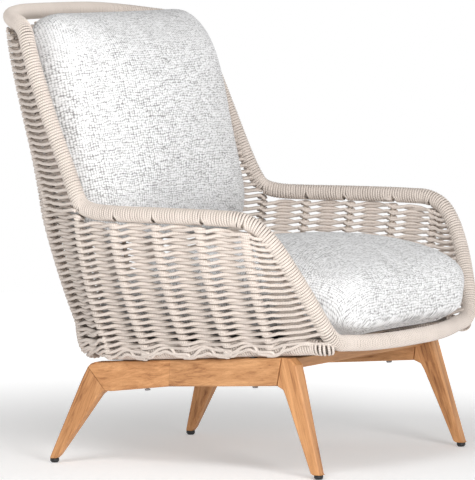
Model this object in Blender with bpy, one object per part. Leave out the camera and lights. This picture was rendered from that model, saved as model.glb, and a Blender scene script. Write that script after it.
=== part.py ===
"""Outdoor lounge armchair: a rope-wrapped aluminium shell with two loose cushions on a teak base.

Metres, +Z up. The chair faces -Y, is symmetric about X = 0 and stands on Z = 0. The pieces are drawn
from the seat's own middle and then moved together, so that the origin is under the middle of the box.
"""

import math

import bmesh
import bpy
from mathutils import Matrix, Vector

# Tube and rope sizes
TUBE_R = 0.0110
WRAP_OUT_R = 0.0167
WRAP_IN_R = 0.0113
RIB_R = 0.0045
WEAVE_SWAY = 0.0084
WEAVE_HALF = 0.0029
GAP = 0.0004
END_GAP = 0.0003

# Rim of the shell, right half, from the middle of the front rail to the middle of the top rail
RIM_FRONT = [
    (0.0, -0.3655, 0.2610),
    (0.110, -0.3600, 0.2610),
    (0.200, -0.3450, 0.2622),
    (0.262, -0.3345, 0.2655),
    (0.308, -0.3320, 0.2705),
]
RIM_DESCENT = [
    (0.336, -0.3290, 0.2850),
    (0.3575, -0.3205, 0.3130),
    (0.3857, -0.2990, 0.3690),
    (0.4093, -0.2765, 0.4195),
    (0.4283, -0.2490, 0.4690),
    (0.4385, -0.2230, 0.4990),
]
RIM_ARM = [
    (0.4455, -0.1880, 0.5155),
    (0.4475, -0.1400, 0.5185),
    (0.4430, 0.0040, 0.5200),
    (0.4310, 0.1050, 0.5205),
    (0.4170, 0.1600, 0.5240),
]
RIM_BACK = [
    (0.4075, 0.1890, 0.5350),
    (0.4025, 0.2060, 0.5620),
    (0.3985, 0.2215, 0.5960),
    (0.3962, 0.2574, 0.6800),
    (0.3915, 0.2890, 0.7580),
    (0.3850, 0.3105, 0.8110),
    (0.3765, 0.3260, 0.8480),
]
RIM_TOP = [
    (0.3640, 0.3400, 0.8755),
    (0.3420, 0.3620, 0.8905),
    (0.3000, 0.4015, 0.8995),
    (0.2400, 0.4421, 0.9078),
    (0.1600, 0.4653, 0.9132),
    (0.0800, 0.4717, 0.9144),
    (0.0, 0.4725, 0.9144),
]

# Seat ring, right half, from its front end to the middle of the rear
RING_PLAN = [
    (0.3300, -0.2930),
    (0.3220, -0.2000),
    (0.3110, -0.1000),
    (0.2990, 0.0000),
    (0.2850, 0.1000),
    (0.2740, 0.1550),
    (0.2580, 0.1960),
    (0.2260, 0.2210),
    (0.1800, 0.2280),
    (0.0900, 0.2280),
    (0.0, 0.2280),
]

# Side frame of the base: straight edges as (value at zero, slope)
RAIL_TOP = (0.2218, -0.0705)
RAIL_BOTTOM_FRONT = (0.1680, -0.0597)
RAIL_BOTTOM_REAR = (0.1714, -0.1210)
RING_ABOVE_RAIL = 0.0187
GLIDE_H = 0.0085
GLIDE_R = 0.0093
FOOT_Z = GLIDE_H + GAP
BOX_MIDDLE_Y = 0.0533

# Ribs
SIDE_RIBS = [("e", -0.200), ("d", -0.101), ("c", -0.002), ("b", 0.098), ("a", 0.190)]
BACK_RIBS = [0.0, 0.27, 0.54, 0.81]
CURL_H = 0.28
LOW_H = 0.20
SIDE_ROWS = 7
BACK_ROWS = 15

# Cushions
SEAT_HALF_W = 0.335
SEAT_FRONT_Y = -0.366
SEAT_REAR_Y = 0.235
SEAT_EDGE_T = 0.132
SEAT_CROWN = 0.062
BACK_HALF_W = 0.328
BACK_LEN = 0.489
BACK_EDGE_T = 0.140
BACK_CROWN = 0.036
BACK_TOP_LEAN = 0.022
BACK_TILT = math.radians(12.5)

ROPE = ((0.80, 0.73, 0.66), 0.85, 0.0)
ROPE_SHADE = ((0.77, 0.70, 0.63), 0.85, 0.0)
METAL = ((0.68, 0.63, 0.57), 0.45, 0.4)
TEAK = ((0.60, 0.33, 0.14), 0.55, 0.0)
TEAK_LIGHT = ((0.66, 0.39, 0.18), 0.55, 0.0)
FABRIC = ((0.80, 0.80, 0.79), 0.95, 0.0)
BLACK = ((0.02, 0.02, 0.02), 0.5, 0.0)
STEEL = ((0.55, 0.55, 0.56), 0.3, 1.0)


def clear_scene():
    for old in list(bpy.data.objects):
        bpy.data.objects.remove(old, do_unlink=True)


def lerp(a, b, t):
    return a + (b - a) * t


def table(keys, x):
    """Straight-line reading of sorted (x, value) keys, held at the ends."""
    if x <= keys[0][0]:
        return keys[0][1]
    for (x0, v0), (x1, v1) in zip(keys[:-1], keys[1:]):
        if x <= x1:
            return lerp(v0, v1, (x - x0) / (x1 - x0))
    return keys[-1][1]


def line_at(edge, y):
    return edge[0] + edge[1] * y


def mirrored(points):
    return [Vector((-p[0], p[1], p[2])) for p in reversed(points)]


def smooth_path(points, steps, closed=False):
    """A rounded path through the points, with the given number of steps between each two."""
    pts = [Vector(p) for p in points]
    n = len(pts)
    out = []
    for i in range(n if closed else n - 1):
        p1 = pts[i]
        p2 = pts[(i + 1) % n]
        p0 = pts[i - 1] if closed or i > 0 else 2 * p1 - p2
        p3 = pts[(i + 2) % n] if closed or i + 2 < n else 2 * p2 - p1
        d0 = math.sqrt((p1 - p0).length)
        d1 = math.sqrt((p2 - p1).length)
        d2 = math.sqrt((p3 - p2).length)
        m1 = ((p2 - p1) / d1 - (p2 - p0) / (d0 + d1) + (p1 - p0) / d0) * d1
        m2 = ((p3 - p2) / d2 - (p3 - p1) / (d1 + d2) + (p2 - p1) / d1) * d1
        for k in range(steps):
            t = k / steps
            a = 2 * t**3 - 3 * t**2 + 1
            b = t**3 - 2 * t**2 + t
            c = 3 * t**2 - 2 * t**3
            d = t**3 - t**2
            out.append(a * p1 + b * m1 + c * p2 + d * m2)
    if not closed:
        out.append(pts[-1])
    return out


def material(name, look):
    made = bpy.data.materials.new(name)
    made.use_nodes = True
    shader = made.node_tree.nodes["Principled BSDF"]
    shader.inputs["Base Color"].default_value = (*look[0], 1.0)
    shader.inputs["Roughness"].default_value = look[1]
    shader.inputs["Metallic"].default_value = look[2]
    return made


def add_object(name, verts, faces, look, smooth=True):
    mesh = bpy.data.meshes.new(name)
    mesh.from_pydata([tuple(v) for v in verts], [], faces)
    tidy = bmesh.new()
    tidy.from_mesh(mesh)
    bmesh.ops.recalc_face_normals(tidy, faces=tidy.faces)
    tidy.to_mesh(mesh)
    tidy.free()
    for face in mesh.polygons:
        face.use_smooth = smooth
    obj = bpy.data.objects.new(name, mesh)
    mesh.materials.append(material(name, look))
    collection.objects.link(obj)
    return obj


def frames(path, closed):
    """Tangent, side and up at every point of the path, carried along without twisting."""
    n = len(path)
    tangents = []
    for i in range(n):
        a = path[i - 1] if closed or i > 0 else path[0]
        b = path[(i + 1) % n] if closed or i + 1 < n else path[-1]
        tangents.append((b - a).normalized())
    up = Vector((0, 0, 1))
    if abs(tangents[0].z) > 0.8:
        up = Vector((0, 1, 0))
    side = tangents[0].cross(up).normalized()
    sides = [side]
    for i in range(1, n):
        side = sides[-1] - tangents[i] * sides[-1].dot(tangents[i])
        sides.append(side.normalized())
    if closed:
        end = sides[-1] - tangents[0] * sides[-1].dot(tangents[0])
        end.normalize()
        twist = math.atan2(end.cross(sides[0]).dot(tangents[0]), end.dot(sides[0]))
        for i in range(n):
            turn = twist * i / n
            across = tangents[i].cross(sides[i])
            sides[i] = sides[i] * math.cos(turn) + across * math.sin(turn)
    return [(t, s, t.cross(s)) for t, s in zip(tangents, sides)]


def ring_of(point, frame, radius, count):
    _, side, up = frame
    out = []
    for k in range(count):
        a = 2 * math.pi * k / count
        out.append(point + side * (radius * math.cos(a)) + up * (radius * math.sin(a)))
    return out


def tube(name, path, radius, count, look, closed=False):
    """A solid round bar along the path."""
    verts = []
    faces = []
    n = len(path)
    for point, frame in zip(path, frames(path, closed)):
        verts += ring_of(point, frame, radius, count)
    for i in range(n if closed else n - 1):
        j = (i + 1) % n
        for k in range(count):
            m = (k + 1) % count
            faces.append((i * count + k, i * count + m, j * count + m, j * count + k))
    if not closed:
        faces.append(tuple(range(count)))
        faces.append(tuple(range((n - 1) * count, n * count)))
    return add_object(name, verts, faces, look)


def sleeve(name, stations, count, look):
    """An open-ended wrap around a tube, over stations of (point, frame) shared with that tube."""
    verts = []
    faces = []
    n = len(stations)
    for i, (point, frame) in enumerate(stations):
        shift = frame[0] * (END_GAP if i == 0 else -END_GAP if i == n - 1 else 0.0)
        verts += ring_of(point + shift, frame, WRAP_OUT_R, count)
        verts += ring_of(point + shift, frame, WRAP_IN_R, count)
    for i in range(n - 1):
        a = 2 * count * i
        b = a + 2 * count
        for k in range(count):
            m = (k + 1) % count
            faces.append((a + k, a + m, b + m, b + k))
            faces.append((a + count + k, b + count + k, b + count + m, a + count + m))
    for a in (0, 2 * count * (n - 1)):
        for k in range(count):
            m = (k + 1) % count
            faces.append((a + k, a + m, a + count + m, a + count + k))
    return add_object(name, verts, faces, look)


# Shell surface: where each rib runs

RIM_HALF = RIM_FRONT + RIM_DESCENT + RIM_ARM + RIM_BACK + RIM_TOP
ARM_X = [(p[1], p[0]) for p in RIM_DESCENT[-1:] + RIM_ARM + RIM_BACK[:1]]
RING_X = [(p[1], p[0]) for p in RING_PLAN[:7]]
SIDE_FOOT_X = [(-0.293, 0.330), (-0.2, 0.322), (-0.1, 0.310), (0.0, 0.297), (0.1, 0.283), (0.193, 0.272)]
POST_X = [(p[2], p[0]) for p in RIM_FRONT[-1:] + RIM_DESCENT]
POST_Y = [(p[2], p[1]) for p in RIM_FRONT[-1:] + RIM_DESCENT]
BACK_SECTION = [
    (0.28, 0.331),
    (0.372, 0.353),
    (0.56, 0.399),
    (0.765, 0.441),
    (0.86, 0.4605),
    (0.914, 0.4725),
]
TUBE_X = [(p[2], p[0]) for p in RIM_BACK + RIM_TOP[:3]]
TUBE_Y = [(p[2], p[1]) for p in RIM_BACK + RIM_TOP[:3]]
CURL = [
    (0.0, 0.0, 0.28),
    (0.22, 0.03, 0.258),
    (0.42, 0.15, 0.240),
    (0.58, 0.32, 0.230),
    (0.78, 0.62, 0.2235),
    (1.0, 1.0, 0.2235),
]


def ring_z(y):
    return line_at(RAIL_TOP, y) + RING_ABOVE_RAIL


def side_x(y, z):
    """Half-width of the side panel at a depth and a height."""
    foot = table(SIDE_FOOT_X, y)
    arm = table(ARM_X, y) + 0.006
    foot_z = ring_z(y) - 0.0157
    s = min(max((z - foot_z) / (0.505 - foot_z), 0.0), 1.0)
    return foot + (arm - foot) * (1 - (1 - s) ** 1.5)


def side_point(y, z):
    return Vector((side_x(y, z), y, z))


def around_ring(length, outset):
    """The plan point this far along the rear of the ring from its middle, moved outwards."""
    plan = list(reversed(RING_PLAN[5:]))
    left = length
    for (x0, y0), (x1, y1) in zip(plan[:-1], plan[1:]):
        step = math.hypot(x1 - x0, y1 - y0)
        if left <= step or (x1, y1) == plan[-1]:
            break
        left -= step
    nx = (y0 - y1) / step
    ny = (x1 - x0) / step
    t = left / step
    return lerp(x0, x1, t) + nx * outset, lerp(y0, y1, t) + ny * outset


def edge_of_back(z):
    """Half-width and depth where the back panel meets the side panel or the back tube."""
    s = min(max((z - 0.50) / 0.06, 0.0), 1.0)
    s = s * s * (3 - 2 * s)
    low = (side_x(0.190, min(z, 0.51)), 0.190)
    high = (table(TUBE_X, z), table(TUBE_Y, z))
    return lerp(low[0], high[0], s), lerp(low[1], high[1], s)


def back_point(q, h):
    """A point of the back panel: q runs from 0 in the middle to 1 at its edge."""
    z = max(h, CURL_H)
    wide, edge_y = edge_of_back(z)
    middle_y = table(BACK_SECTION, z)
    point = Vector((q * wide, middle_y - (middle_y - edge_y) * abs(q) ** 4, z))
    if h < CURL_H:
        t = (CURL_H - h) / (CURL_H - LOW_H)
        share = table([(k[0], k[1]) for k in CURL], t)
        x_end, y_end = around_ring(abs(q) * 0.270, 0.0240)
        point.x = lerp(point.x, math.copysign(x_end, q), share)
        point.y = lerp(point.y, y_end, share)
        point.z = table([(k[0], k[2]) for k in CURL], t)
    return point


BACK_TOP = [
    (0.0, 0.8955),
    (0.27, 0.8950),
    (0.54, 0.8925),
    (0.81, 0.8790),
    (0.93, 0.8560),
    (1.0, 0.8350),
]


def weave(name, columns, rows, point_at, look):
    """A closed sheet of woven rope. Each column is (u, sway): the sheet passes a rib on the outside or the inside."""
    grid = []
    for r in range(rows + 1):
        line = [point_at(u, r) for u, _ in columns]
        grid.append(line)
    verts = []
    for sign in (1, -1):
        for r in range(rows + 1):
            for c in range(len(columns)):
                across = grid[r][min(c + 1, len(columns) - 1)] - grid[r][max(c - 1, 0)]
                upward = grid[min(r + 1, rows)][c] - grid[max(r - 1, 0)][c]
                normal = across.cross(upward).normalized()
                sway = columns[c][1] * (0.0 if r == 0 else 1.0)
                verts.append(grid[r][c] + normal * (sway + sign * WEAVE_HALF))
    wide = len(columns)
    back = wide * (rows + 1)
    faces = []
    for r in range(rows):
        for c in range(wide - 1):
            a = r * wide + c
            faces.append((a, a + 1, a + wide + 1, a + wide))
            faces.append((back + a, back + a + wide, back + a + wide + 1, back + a + 1))
    for c in range(wide - 1):
        for a in (c, rows * wide + c):
            faces.append((a, a + 1, back + a + 1, back + a))
    for r in range(rows):
        for a in (r * wide, r * wide + wide - 1):
            faces.append((a, a + wide, back + a + wide, back + a))
    return add_object(name, verts, faces, look)


# Side frame of the base: its outer face leans out, more at the rear leg than at the front one


def frame_half_width(y, z):
    s = min(max((0.214 - y) / 0.456, 0.0), 1.0)
    return lerp(0.315 - 0.205 * z, 0.356 - 0.055 * z, s)


def frame_thickness(y, z):
    s = min(max((0.214 - y) / 0.456, 0.0), 1.0)
    high = min(z, 0.2)
    return lerp(0.018 + 0.09 * high, 0.021 + 0.07 * high, s)


def timber(name, rungs, side, look, chamfer=0.0025):
    """A bar of the side frame, from pairs of (y, z) points on its two long edges."""
    verts = []
    for (ya, za), (yb, zb) in rungs:
        a = Vector((0, ya, za))
        b = Vector((0, yb, zb))
        inward = (b - a).normalized() * chamfer
        corners = (
            (a, inward, 0.0),
            (a, inward * 0, chamfer),
            (a, inward * 0, -chamfer),
            (a, inward, -0.0),
            (b, -inward, -0.0),
            (b, inward * 0, -chamfer),
            (b, inward * 0, chamfer),
            (b, -inward, 0.0),
        )
        for k, (base, shift, depth) in enumerate(corners):
            p = base + shift
            outer = frame_half_width(base.y, base.z)
            if k in (0, 1, 6, 7):
                x = outer - depth
            else:
                x = outer - frame_thickness(base.y, base.z) - depth
            verts.append(Vector((x * side, p.y, p.z)))
    faces = []
    n = len(rungs)
    for i in range(n - 1):
        for k in range(8):
            m = (k + 1) % 8
            faces.append((8 * i + k, 8 * i + m, 8 * i + 8 + m, 8 * i + 8 + k))
    faces.append(tuple(range(8)))
    faces.append(tuple(range(8 * n - 8, 8 * n)))
    obj = add_object(name, verts, faces, look, smooth=False)
    return obj


def cross_rail(name, low, high, look, chamfer=0.0015):
    """A bar from side frame to side frame, between (y, z) corners, its ends cut to their leaning inner faces."""
    verts = []
    for side in (-1, 1):
        for y, z in (
            (low[0] + chamfer, low[1]),
            (high[0] - chamfer, low[1]),
            (high[0], low[1] + chamfer),
            (high[0], high[1] - chamfer),
            (high[0] - chamfer, high[1]),
            (low[0] + chamfer, high[1]),
            (low[0], high[1] - chamfer),
            (low[0], low[1] + chamfer),
        ):
            x = frame_half_width(y, z) - frame_thickness(y, z) - 0.0014
            verts.append(Vector((x * side, y, z)))
    faces = [tuple(range(8)), tuple(range(8, 16))]
    for k in range(8):
        m = (k + 1) % 8
        faces.append((k, m, 8 + m, 8 + k))
    return add_object(name, verts, faces, look, smooth=False)


def cut(target, cutter):
    made = target.modifiers.new("hole", "BOOLEAN")
    made.operation = "DIFFERENCE"
    made.solver = "EXACT"
    made.object = cutter


def turned(name, centre, profile, count, look):
    """A round piece on a vertical axis, from (radius, height above the centre) pairs going up."""
    verts = []
    faces = []
    for radius, z in profile:
        for k in range(count):
            a = 2 * math.pi * k / count
            verts.append(
                Vector((centre[0] + radius * math.cos(a), centre[1] + radius * math.sin(a), centre[2] + z))
            )
    for i in range(len(profile) - 1):
        for k in range(count):
            m = (k + 1) % count
            faces.append((i * count + k, i * count + m, (i + 1) * count + m, (i + 1) * count + k))
    faces.append(tuple(range(count)))
    faces.append(tuple(range((len(profile) - 1) * count, len(profile) * count)))
    return add_object(name, verts, faces, look)


def cushion(name, outline, bottom, crown_bottom, thickness, crown, place, look):
    """A crowned pillow: rings that shrink towards the middle of its two faces."""
    shares = [(1.0, 0.0), (0.988, 0.36), (0.95, 0.66), (0.86, 0.90), (0.58, 1.0), (0.27, 1.0)]
    rise = [0.0, 0.0, 0.03, 0.18, 0.70, 0.97]
    levels = []
    for (scale, up), lift in reversed(list(zip(shares, rise))):
        levels.append((scale, -0.5 * thickness * up - crown_bottom * lift))
    for (scale, up), lift in list(zip(shares, rise))[1:]:
        levels.append((scale, 0.5 * thickness * up + crown * lift))
    verts = []
    faces = []
    n = len(outline)
    for scale, height in levels:
        for x, y in outline:
            verts.append(place(x * scale, y * scale, height + bottom + 0.5 * thickness))
    for i in range(len(levels) - 1):
        for k in range(n):
            m = (k + 1) % n
            faces.append((i * n + k, i * n + m, (i + 1) * n + m, (i + 1) * n + k))
    first = len(verts)
    verts.append(place(0, 0, bottom - crown_bottom))
    verts.append(place(0, 0, bottom + thickness + crown))
    last = (len(levels) - 1) * n
    for k in range(n):
        m = (k + 1) % n
        faces.append((first, m, k))
        faces.append((first + 1, last + k, last + m))
    return add_object(name, verts, faces, look)


def rounded_outline(half_x, y0, y1, r0, r1, bow0=0.0, arc=5, side_steps=3):
    """A rectangle in plan with its own corner radius and bow at the y0 end and at the y1 end, about its middle."""
    mid = 0.5 * (y0 + y1)
    points = []
    corners = (
        (half_x - r1, y1 - r1, r1, 0.0),
        (-half_x + r1, y1 - r1, r1, 90.0),
        (-half_x + r0, y0 + r0, r0, 180.0),
        (half_x - r0, y0 + r0, r0, 270.0),
    )
    for i, (cx, cy, r, a0) in enumerate(corners):
        for k in range(arc + 1):
            a = math.radians(a0 + 90.0 * k / arc)
            points.append((cx + r * math.cos(a), cy + r * math.sin(a)))
        nx, ny, nr, na = corners[(i + 1) % 4]
        a = math.radians(na)
        start = points[-1]
        end = (nx + nr * math.cos(a), ny + nr * math.sin(a))
        for k in range(1, side_steps):
            t = k / side_steps
            points.append((lerp(start[0], end[0], t), lerp(start[1], end[1], t)))
    out = []
    for x, y in points:
        if y < mid:
            share = (mid - y) / (mid - y0)
            y -= bow0 * share**2 * (1 - (x / half_x) ** 2)
        out.append((x, y - mid))
    return out, mid


clear_scene()
collection = bpy.data.collections.new("lounge_armchair")
bpy.context.scene.collection.children.link(collection)
helpers = bpy.data.collections.new("hole_cutters")
bpy.context.scene.collection.children.link(helpers)

# Rim tube: one closed aluminium loop, and the rope wraps on it, each an open sleeve
rim_points = [Vector(p) for p in RIM_HALF]
rim_loop = rim_points + mirrored(RIM_HALF)[1:-1]
tube("rim_tube", rim_loop, TUBE_R, 10, METAL, closed=True)
rim_stations = list(zip(rim_loop, frames(rim_loop, True)))
count = len(rim_loop)
half = len(RIM_HALF) - 1
post_at = len(RIM_FRONT)
arm_at = post_at + len(RIM_DESCENT)
back_at = arm_at + len(RIM_ARM)
top_at = back_at + len(RIM_BACK) - 1
SPANS = (
    ("wrap_front_rail", -post_at, post_at),
    ("wrap_front_post_right", post_at, arm_at),
    ("wrap_arm_right", arm_at, back_at),
    ("wrap_back_post_right", back_at, top_at),
    ("wrap_top_rail", top_at, count - top_at),
    ("wrap_back_post_left", count - top_at, count - back_at),
    ("wrap_arm_left", count - back_at, count - arm_at),
    ("wrap_front_post_left", count - arm_at, count - post_at),
)
for name, first, last in SPANS:
    sleeve(name, [rim_stations[i % count] for i in range(first, last + 1)], 10, ROPE)

# Seat ring: a U-shaped tube above the base, with its wrap
ring_half = [Vector((x, y, ring_z(y))) for x, y in RING_PLAN]
ring_path = ring_half + mirrored(ring_half)[1:]
tube("seat_ring", ring_path, TUBE_R, 8, METAL)
ring_stations = list(zip(ring_path, frames(ring_path, False)))
sleeve("wrap_seat_ring", ring_stations, 8, ROPE_SHADE)

# Woven rope panels
SIDE_ROW_SHARES = [0.0, 0.05, 0.20, 0.36, 0.52, 0.68, 0.84, 1.0]
BACK_ROW_LOW = [0.204, 0.2145, 0.228, 0.242, 0.258, 0.28]


def side_columns():
    columns = [(0.0, 0.0), (0.5, -0.5 * WEAVE_SWAY)]
    sign = -1
    for i in range(4):
        columns += [(i + 1.0, sign * WEAVE_SWAY), (i + 1.33, sign * 0.34 * WEAVE_SWAY)]
        columns.append((i + 1.67, -sign * 0.34 * WEAVE_SWAY))
        sign = -sign
    columns.append((4.93, 0.0))
    return columns


def side_sheet(u, row):
    share = SIDE_ROW_SHARES[row]
    ys = [p[1] for p in SIDE_RIBS]
    i = min(max(int(u) - 1, 0), 3)
    y = lerp(ys[i], ys[i + 1], u - 1 - i) if u > 1 else ys[0]
    top = table([(1.0, 0.4845), (1.5, 0.4920), (3.0, 0.4985), (5.0, 0.5010)], u)
    inner = side_point(y, lerp(ring_z(y) + 0.0085, top, share))
    if u >= 1:
        return inner
    z = lerp(0.290, 0.464, share)
    post = Vector((table(POST_X, z) + 0.002, table(POST_Y, z) + 0.0235, z))
    return post.lerp(inner, u)


def back_columns():
    qs = [0.0, 0.27, 0.54, 0.81]
    half = [(0.0, WEAVE_SWAY)]
    sign = 1
    for a, b in zip(qs[:-1], qs[1:]):
        half.append((lerp(a, b, 0.33), sign * 0.34 * WEAVE_SWAY))
        half.append((lerp(a, b, 0.67), -sign * 0.34 * WEAVE_SWAY))
        sign = -sign
        half.append((b, sign * WEAVE_SWAY))
    half += [(0.87, sign * 0.55 * WEAVE_SWAY), (0.93, 0.0), (1.0, 0.0)]
    return [(-q, s) for q, s in reversed(half)] + half[1:]


def back_sheet(q, row):
    size = abs(q)
    top = table(BACK_TOP, size) - 0.0015
    last = len(BACK_ROW_LOW) - 1
    if row <= last:
        h = BACK_ROW_LOW[row]
    else:
        h = lerp(CURL_H, top, (row - last) / (BACK_ROWS - last))
    if size > 0.999:
        clear = table([(0.49, 0.0090), (0.53, 0.0230), (0.80, 0.0230), (0.84, 0.026)], h)
        size = 1 - clear / 0.72
    point = back_point(size, h)
    if q < 0:
        point.x = -point.x
    return point


weave("side_weave_right", side_columns(), SIDE_ROWS, side_sheet, ROPE)
weave(
    "side_weave_left",
    [(u, -s) for u, s in side_columns()],
    SIDE_ROWS,
    lambda u, v: Vector((-side_sheet(u, v).x, side_sheet(u, v).y, side_sheet(u, v).z)),
    ROPE,
)
weave("back_weave", back_columns(), BACK_ROWS, back_sheet, ROPE)

# Ribs, each along one column of its panel
for i, (letter, _) in enumerate(SIDE_RIBS):
    path = [side_sheet(i + 1.0, row) for row in range(1, SIDE_ROWS + 1)]
    path[-1] = path[-2].lerp(path[-1], 0.97)
    tube("side_rib_" + letter + "_right", path, RIB_R, 6, METAL)
    tube("side_rib_" + letter + "_left", mirrored(path), RIB_R, 6, METAL)
for number, q in enumerate(BACK_RIBS):
    path = [back_sheet(q, row) for row in range(1, BACK_ROWS + 1)]
    path[-1] = path[-2].lerp(path[-1], 0.97)
    if number == 0:
        tube("back_rib_middle", path, RIB_R, 6, METAL)
    else:
        tube("back_rib_%d_right" % number, path, RIB_R, 6, METAL)
        tube("back_rib_%d_left" % number, mirrored(path), RIB_R, 6, METAL)

# Teak side frames
TOP = RAIL_TOP
REAR_TOP = (0.2325, line_at(TOP, 0.2325))
for tag, side in (("right", 1), ("left", -1)):
    rear_leg = [
        ((0.3155, FOOT_Z), (0.3010, FOOT_Z)),
        ((0.3140, 0.0140), (0.2935, 0.0170)),
        ((0.2835, 0.1000), (0.2420, 0.1000)),
        ((0.2640, 0.1550), (0.2175, 0.1395)),
        ((0.2560, 0.1765), (0.2090, 0.1465)),
        ((0.2475, 0.1955), (0.2010, 0.1490)),
    ]
    timber("rear_leg_" + tag, rear_leg, side, TEAK)
    knee = [
        ((0.2468, 0.1964), (0.2003, 0.1495)),
        ((0.2410, 0.2020), (0.1900, 0.1487)),
        (REAR_TOP, (0.1800, line_at(RAIL_BOTTOM_REAR, 0.1800))),
        ((0.1400, line_at(TOP, 0.1400)), (0.1200, line_at(RAIL_BOTTOM_REAR, 0.1200))),
        ((0.0456, line_at(TOP, 0.0456)), (0.0456, line_at(RAIL_BOTTOM_REAR, 0.0456))),
    ]
    timber("knee_block_" + tag, knee, side, TEAK_LIGHT)
    rail = [
        ((0.0452, line_at(TOP, 0.0452)), (0.0452, line_at(RAIL_BOTTOM_REAR, 0.0452))),
        ((-0.090, line_at(TOP, -0.090)), (-0.090, line_at(RAIL_BOTTOM_FRONT, -0.090))),
        ((-0.2240, line_at(TOP, -0.2240)), (-0.2145, line_at(RAIL_BOTTOM_FRONT, -0.2145))),
    ]
    timber("side_rail_" + tag, rail, side, TEAK)
    front_leg = [
        ((-0.3190, FOOT_Z), (-0.3000, FOOT_Z)),
        ((-0.3165, 0.0120), (-0.2955, 0.0120)),
        ((-0.2915, 0.1000), (-0.2610, 0.1000)),
        ((-0.2745, 0.1620), (-0.2365, 0.1610)),
        ((-0.2700, 0.1780), (-0.2300, 0.1740)),
        ((-0.2640, 0.2000), (-0.2150, 0.1812)),
        ((-0.2575, 0.2230), (-0.2192, 0.2050)),
        ((-0.2440, 0.2370), (-0.2245, 0.2374)),
    ]
    timber("front_leg_" + tag, front_leg, side, TEAK)

# Cross rails between the side frames
cross_rail("front_cross_rail", (-0.2360, 0.2130), (-0.1860, 0.2338), TEAK)
cross_rail("rear_cross_rail", (0.1500, 0.1760), (0.2000, 0.2060), TEAK)

# Seat support: two cross tubes and a woven rope deck inside the ring
for name, y in (("front_seat_tube", -0.150), ("rear_seat_tube", 0.070)):
    half = table(RING_X, y) - WRAP_OUT_R - 0.0018
    z = ring_z(y) - 0.003
    tube(name, [Vector((-half, y, z)), Vector((half, y, z))], 0.010, 8, METAL)
deck = []
for y in (-0.290, -0.150, 0.0, 0.130, 0.185):
    half = table(RING_X, y) - WRAP_OUT_R - 0.0020
    deck.append((half, y, ring_z(y) + 0.0078))
verts = []
for lift in (0.0, 0.0056):
    for half, y, z in deck:
        verts += [Vector((-half, y, z + lift)), Vector((half, y, z + lift))]
faces = []
n = 2 * len(deck)
for i in range(len(deck) - 1):
    a = 2 * i
    faces.append((a, a + 1, a + 3, a + 2))
    faces.append((n + a, n + a + 2, n + a + 3, n + a + 1))
    faces.append((a, a + 2, n + a + 2, n + a))
    faces.append((a + 1, n + a + 1, n + a + 3, a + 3))
faces.append((0, n, n + 1, 1))
faces.append((n - 2, n - 1, 2 * n - 1, 2 * n - 2))
add_object("seat_deck", verts, faces, ROPE_SHADE, smooth=False)

# Pads and bolts between the seat ring and the side frames
LEAN = math.atan(RAIL_TOP[1])
for tag, side in (("right", 1), ("left", -1)):
    for place, y, edge in (("front", -0.150, RAIL_BOTTOM_FRONT), ("rear", 0.110, RAIL_BOTTOM_REAR)):
        x = (table(RING_X, y)) * side
        base = Vector((x, y, ring_z(y)))
        down = 0.0187 * math.cos(LEAN)
        pad = turned(
            "ring_pad_%s_%s" % (place, tag),
            base,
            [(0.0085, -down + 0.0003), (0.0085, -WRAP_OUT_R - 0.0003)],
            12,
            BLACK,
        )
        head = -(line_at(RAIL_TOP, y) - line_at(edge, y)) * math.cos(LEAN) - down
        bolt = turned(
            "frame_bolt_%s_%s" % (place, tag),
            base,
            [
                (0.0045, head - 0.0048),
                (0.0060, head - 0.0036),
                (0.0060, head - 0.0012),
                (0.0030, head - 0.0012),
                (0.0030, -0.0020),
            ],
            10,
            STEEL,
        )
        cutter = turned(
            "bolt_hole_%s_%s" % (place, tag),
            base,
            [(0.0034, head - 0.0120), (0.0034, -0.0010)],
            10,
            STEEL,
        )
        for made in (pad, bolt, cutter):
            made.matrix_world = (
                Matrix.Translation(base) @ Matrix.Rotation(LEAN, 4, "X") @ Matrix.Translation(-base)
            )
        timber_name = ("side_rail_" if place == "front" else "knee_block_") + tag
        for target in (timber_name, pad.name, "wrap_seat_ring", "seat_ring"):
            cut(bpy.data.objects[target], cutter)
        cutter.hide_render = True
        cutter.display_type = "WIRE"
        collection.objects.unlink(cutter)
        helpers.objects.link(cutter)

# Glides
FEET = {
    "rear": (frame_half_width(0.31, 0.009) - 0.5 * frame_thickness(0.31, 0.009), 0.3080),
    "front": (frame_half_width(-0.31, 0.009) - 0.5 * frame_thickness(-0.31, 0.009), -0.3093),
}
for tag, side in (("right", 1), ("left", -1)):
    for place, (x, y) in FEET.items():
        profile = [
            (GLIDE_R - 0.0028, 0.0),
            (GLIDE_R, 0.0034),
            (GLIDE_R, GLIDE_H - 0.0006),
            (GLIDE_R - 0.0010, GLIDE_H),
        ]
        turned("%s_glide_%s" % (place, tag), (x * side, y, 0.0), profile, 16, BLACK)

# Seat cushion, lying on the deck
seat_outline, seat_mid = rounded_outline(
    SEAT_HALF_W, SEAT_FRONT_Y + 0.006, SEAT_REAR_Y, 0.120, 0.050, bow0=0.006
)


def on_seat(x, y, up):
    depth = seat_mid + y
    x *= 1 - 0.12 * min(max(depth / SEAT_REAR_Y, 0.0), 1.0)
    z = ring_z(depth) + 0.0146 + up
    room = side_x(min(depth, 0.19), z) - 0.0140
    return Vector((max(-room, min(room, x)), depth, z))


cushion(
    "seat_cushion", seat_outline, 0.0010, 0.0, SEAT_EDGE_T, SEAT_CROWN, on_seat, FABRIC
)

# Back cushion, standing on the seat cushion and leaning on the back panel
back_outline, back_mid = rounded_outline(BACK_HALF_W, 0.0, BACK_LEN, 0.060, 0.092)
BACK_FOOT = Vector((0, 0.2140, 0.4380))


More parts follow.
